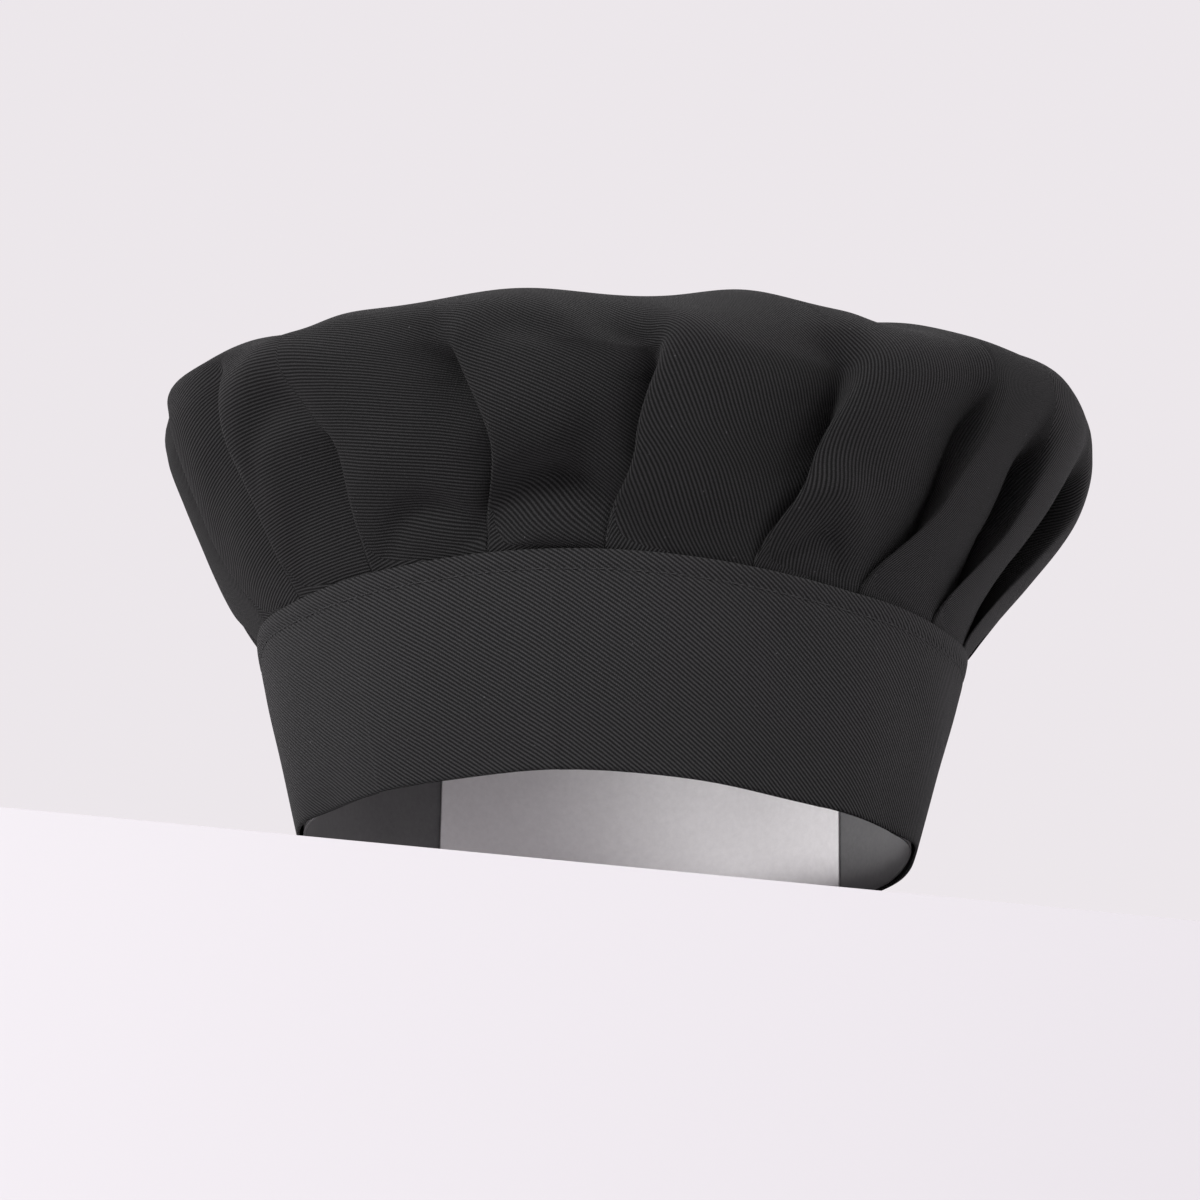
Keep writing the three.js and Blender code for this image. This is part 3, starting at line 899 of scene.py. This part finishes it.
def flat_tube(name, centres, radii, ups, material):
    """Closed tube along a route, squashed to a flat oval whose flat side faces ups."""
    sides, flatten = 16, 0.45
    ways = np.gradient(centres, axis=0)
    ways /= np.linalg.norm(ways, axis=1)[:, None]
    points = []
    for centre, way, up, radius in zip(centres, ways, ups, radii):
        up = up - way * way.dot(up)
        up /= np.linalg.norm(up)
        side = np.cross(way, up)
        for k in range(sides):
            q = 2 * math.pi * k / sides
            points.append(centre + radius * (math.cos(q) * side + flatten * math.sin(q) * up))
    run = np.r_[0, np.cumsum(np.linalg.norm(np.diff(centres, axis=0), axis=1))]
    around = np.arange(sides) / sides * 2 * math.pi * np.mean(radii)
    uv = np.stack(np.meshgrid(run, around, indexing="ij"), axis=-1)
    mesh = mesh_from(name, points, tube_faces(0, len(centres), sides), uv)
    fix_normals(mesh)
    return new_object(name, mesh, material)


def outer_surface(obj):
    """Finds a piece's outermost point behind the head at a sideways place and height."""
    graph = bpy.context.evaluated_depsgraph_get()
    tree = BVHTree.FromObject(obj, graph)

    def at(x, z):
        hit, normal, _, _ = tree.ray_cast(Vector((x, 0.3, z)), Vector((0, -1, 0)))
        return np.array(hit), np.array(normal if normal.y > 0 else -normal)

    return at


def build_vent_binding(surface, material):
    """Bias binding folded over the raw edges of the slit: up one side, round and down the other."""
    spread, low, top = 1.9 * MM, BAND_HEIGHT + 1.2 * MM, VENT_TOP - 1 * MM
    bend = np.linspace(0.15, math.pi - 0.15, 13)
    route = [(spread, z) for z in np.linspace(low, top, 26)]
    route += [(spread * math.cos(t), top + 1.6 * spread * math.sin(t)) for t in bend]
    route += [(-spread, z) for z in np.linspace(top, low, 26)]
    found = [surface(x, z) for x, z in route]
    centres = np.array([place + normal * 0.15 * MM for place, normal in found])
    for _ in range(3):
        centres[1:-1] = (centres[:-2] + 2 * centres[1:-1] + centres[2:]) / 4
    draw = np.random.default_rng(11)
    radii = (1.45 + 0.06 * draw.standard_normal(len(centres))) * MM
    return flat_tube("vent_binding_tape", centres, radii, [normal for _, normal in found], material)


def build_bar_tack(surface, material):
    """Close zigzag of thread across the top of the slit."""
    half, tall, rows = 4.5 * MM, 0.75 * MM, 26
    middle = VENT_TOP + 5.2 * MM
    places, normals = [], []
    for i, x in enumerate(np.linspace(-half, half, rows + 1)):
        place, normal = surface(x, middle + (tall if i % 2 else -tall))
        places.append(place + normal * 0.12 * MM)
        normals.append(normal)
    return stitch_run("vent_bar_tack_thread", places, normals, 0.24 * MM, material, 0.0)


def cut_slit(obj):
    """Opens the crown at the centre back from the seam up to the vent's top."""
    bm = bmesh.new()
    bm.from_mesh(obj.data)

    def near(reach, top):
        found = []
        for face in bm.faces:
            middle = face.calc_center_median()
            if abs(middle.x) < reach and middle.y > 0.08 and middle.z < top:
                found.append(face)
        return found

    sideways, upwards = (1, 0, 0), (0, 0, 1)
    cuts = [((VENT_HALF_WIDTH, 0, 0), sideways), ((-VENT_HALF_WIDTH, 0, 0), sideways)]
    for place, normal in cuts + [((0, 0, VENT_TOP), upwards)]:
        faces = near(8 * MM, VENT_TOP + 6 * MM)
        edges = list({edge for face in faces for edge in face.edges})
        corners = list({corner for face in faces for corner in face.verts})
        bmesh.ops.bisect_plane(bm, geom=faces + edges + corners, dist=1e-6, plane_co=place, plane_no=normal)
    bmesh.ops.delete(bm, geom=near(VENT_HALF_WIDTH, VENT_TOP), context="FACES")
    bm.to_mesh(obj.data)
    bm.free()


# Stage ---------------------------------------------------------------------------------


def plain(name, colour):
    n = Nodes(name)
    place = n.add("ShaderNodeTexCoord").outputs["Object"]
    tone = n.ramp(n.noise(place, 3.0, 2.0), 0.3, 0.7)
    pale = n.mix(tone, tuple(c * 0.985 for c in colour[:3]) + (1,), colour)
    return n.finish(pale, 0.9, specular=0.2)


def one_sided(material):
    """Seen from below the surface isn't there, so a low camera looks past the table's top."""
    tree = material.node_tree
    output = next(n for n in tree.nodes if n.type == "OUTPUT_MATERIAL")
    shader = tree.nodes["Principled BSDF"]
    geometry = tree.nodes.new("ShaderNodeNewGeometry")
    clear = tree.nodes.new("ShaderNodeBsdfTransparent")
    mix = tree.nodes.new("ShaderNodeMixShader")
    tree.links.new(geometry.outputs["Backfacing"], mix.inputs[0])
    tree.links.new(shader.outputs[0], mix.inputs[1])
    tree.links.new(clear.outputs[0], mix.inputs[2])
    tree.links.new(mix.outputs[0], output.inputs["Surface"])
    return material


def build_floor(material):
    """Pale table top with the head opening left clear, so the hat is lit from within as well."""
    steps = 96
    angles = np.linspace(0, 360, steps, endpoint=False)
    rings = [86 * MM, 0.3, 0.9, 3.5]
    points = np.stack([round_head(r, angles, -0.4 * MM) for r in rings])
    mesh = mesh_from("table_top", points, grid_faces(len(rings), steps, True))
    fix_normals(mesh)
    if mesh.polygons[0].normal.z < 0:
        mesh.flip_normals()
    new_object("table_top", mesh, material)


def build_board(material):
    """Pale board in front of the hat, below the table top, whose edge hides the rear rim."""
    near, far, half_width, bottom = -0.27, -0.25, 0.5, -0.8
    left_edge, right_edge = BOARD_EDGE
    points = [(-half_width, far, left_edge), (half_width, far, right_edge), (half_width, near, bottom),
              (-half_width, near, bottom)]
    mesh = mesh_from("front_board", points, [[0, 1, 2, 3]], soft=False)
    new_object("front_board", mesh, material)


def area_light(name, place, aim, size, power):
    light = bpy.data.lights.new(name, "AREA")
    light.shape = "RECTANGLE"
    light.size, light.size_y = size
    light.energy = power
    obj = bpy.data.objects.new(name, light)
    obj.location = place
    way = Vector(aim) - Vector(place)
    obj.rotation_euler = way.to_track_quat("-Z", "Y").to_euler()
    bpy.context.scene.collection.objects.link(obj)


CAMERA_DISTANCE = 1.100
CAMERA_ELEVATION = 17.15
CAMERA_ROLL = 1.0
CAMERA_TARGET = (-4.35 * MM, 0.0, 84.9 * MM)
FOCAL_SHARE = 2.884                  # focal length over the frame's width
BOARD_EDGE = (-0.0183, -0.0975)      # height of its upper edge at the left and at the right


def build_camera():
    e = math.radians(CAMERA_ELEVATION)
    forward = Vector((0, math.cos(e), math.sin(e)))
    right = Vector((1, 0, 0))
    up = right.cross(forward)
    roll = math.radians(CAMERA_ROLL)
    across = right * math.cos(roll) + up * math.sin(roll)
    upright = up * math.cos(roll) - right * math.sin(roll)
    data = bpy.data.cameras.new("camera")
    data.sensor_width = 36
    data.lens = FOCAL_SHARE * data.sensor_width
    data.clip_start, data.clip_end = 0.05, 20
    camera = bpy.data.objects.new("camera", data)
    place = Vector(CAMERA_TARGET) - forward * CAMERA_DISTANCE
    rotation = Matrix((across, upright, -forward)).transposed()
    camera.matrix_world = Matrix.Translation(place) @ rotation.to_4x4()
    bpy.context.scene.collection.objects.link(camera)
    bpy.context.scene.camera = camera


def build_world():
    world = bpy.data.worlds.new("pale room")
    world.use_nodes = True
    background = world.node_tree.nodes["Background"]
    background.inputs["Color"].default_value = (0.84, 0.80, 0.83, 1)
    background.inputs["Strength"].default_value = 1.0
    bpy.context.scene.world = world


# Assembly ------------------------------------------------------------------------------

crown_twill = twill(
    "crown twill", (0.0030, 0.0030, 0.0031, 1), (0.0250, 0.0250, 0.0255, 1), 1.1 * MM, 41)
band_twill = twill(
    "band twill", (0.0070, 0.0070, 0.0072, 1), (0.041, 0.041, 0.042, 1), 1.04 * MM, 57)
thread = simple_finish(
    "black thread", (0.008, 0.008, 0.0085, 1), (0.019, 0.019, 0.020, 1), 0.8, 2600, 0.06 * MM, 0.05)
felt = simple_finish(
    "interlining", (0.60, 0.58, 0.54, 1), (0.78, 0.76, 0.72, 1), 0.95, 900, 0.1 * MM, 0.1)
satin = simple_finish(
    "label satin", (0.72, 0.71, 0.67, 1), (0.86, 0.85, 0.82, 1), 0.4, 1400, 0.03 * MM, 0.1)
pile = simple_finish(
    "loop pile", (0.008, 0.008, 0.009, 1), (0.025, 0.025, 0.027, 1), 0.95, 1800, 0.1 * MM, 0.3)
hooks = simple_finish(
    "moulded hooks", (0.008, 0.008, 0.009, 1), (0.018, 0.018, 0.02, 1), 0.45, 1500, 0.04 * MM)
# white card in shade, with the shade painted into its colour as dark grey
painted_shade_card = simple_finish(
    "card with painted shade", (0.115, 0.114, 0.116, 1), (0.15, 0.149, 0.151, 1), 0.85, 700, 0.03 * MM)
white_card = simple_finish(
    "white card", (0.78, 0.77, 0.78, 1), (0.86, 0.85, 0.86, 1), 0.75, 700, 0.03 * MM)
pale_card = simple_finish(
    "pale card", (0.80, 0.78, 0.785, 1), (0.88, 0.86, 0.865, 1), 0.7, 500, 0.04 * MM)


def stand_in(piece, node, body):
    """Puts a piece in the place of a CAD node, on that node's body."""
    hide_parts(node)
    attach(piece, body)


crown = build_crown(crown_twill)
back_surface = outer_surface(crown)
stand_in(build_vent_binding(back_surface, crown_twill), "vent_binding", "hat")
stand_in(build_bar_tack(back_surface, thread), "vent_bar_tack", "hat")
cut_slit(crown)
thick(crown, CROWN_CLOTH, -1.0)
stand_in(crown, "crown", "hat")

band = build_band(band_twill)
stand_in(band, "band", "hat")

lining = build_interlining(felt)
stand_in(lining, "band_interlining", "hat")

stand_in(build_topstitch(thread), "band_topstitch", "hat")

label = build_label(satin)
stand_in(label, "size_label", "hat")

loop_tape = pile_tape("loop_tape", 0.85 * MM, pile, 1, 1.2, 1.0, 3)
stand_in(loop_tape, "loop_strip", "hat")
hook_tape = pile_tape("hook_tape", 1.95 * MM, hooks, -1, 0.15, 0.8, 5)
stand_in(hook_tape, "hook_strip", "closure")

tab = build_tab(band_twill)
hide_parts("closure_tab", "tab_interlining")
tab_rows = build_tab_stitching(thread)
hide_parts("tab_stitching")
# two places round the band at the tab's root; nothing uses them, and the tab is not bent
root = [tuple(round_head(band_radius(0.031) + 1.5 * MM, a, 0.031)) for a in (173.0, 181.0)]
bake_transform(tab)
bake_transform(tab_rows)

# the ring's inner face takes the dark colour: painted shade on white card
ring = build_card("former_card", 92.4 * MM, -189.0, 170.0, 78.2 * MM, 240, painted_shade_card, white_card)
stand_in(ring, "former_ring", "former")
panel = build_card("former_splice", 91.6 * MM, 127, 217, 75.3 * MM, 90, pale_card, pale_card)
stand_in(panel, "former_panel", "former")

build_floor(one_sided(plain("pale table", (0.76, 0.74, 0.76, 1))))
build_board(plain("front board white", (0.57, 0.555, 0.575, 1)))
bpy.context.scene.view_settings.view_transform = "Standard"
build_world()
area_light("key", (-1.0, -1.45, 0.8), (0, 0, 0.08), (0.6, 0.6), 24)
area_light("fill", (1.5, -1.2, 0.15), (0, 0, 0.06), (1.0, 0.8), 9.0)
area_light("top", (-0.3, 0.1, 1.9), (0, 0, 0.1), (1.2, 1.2), 3.3)
area_light("under", (-0.42, -0.2, -0.72), (0.03, 0.08, 0.04), (0.45, 0.45), 11.2)
build_camera()
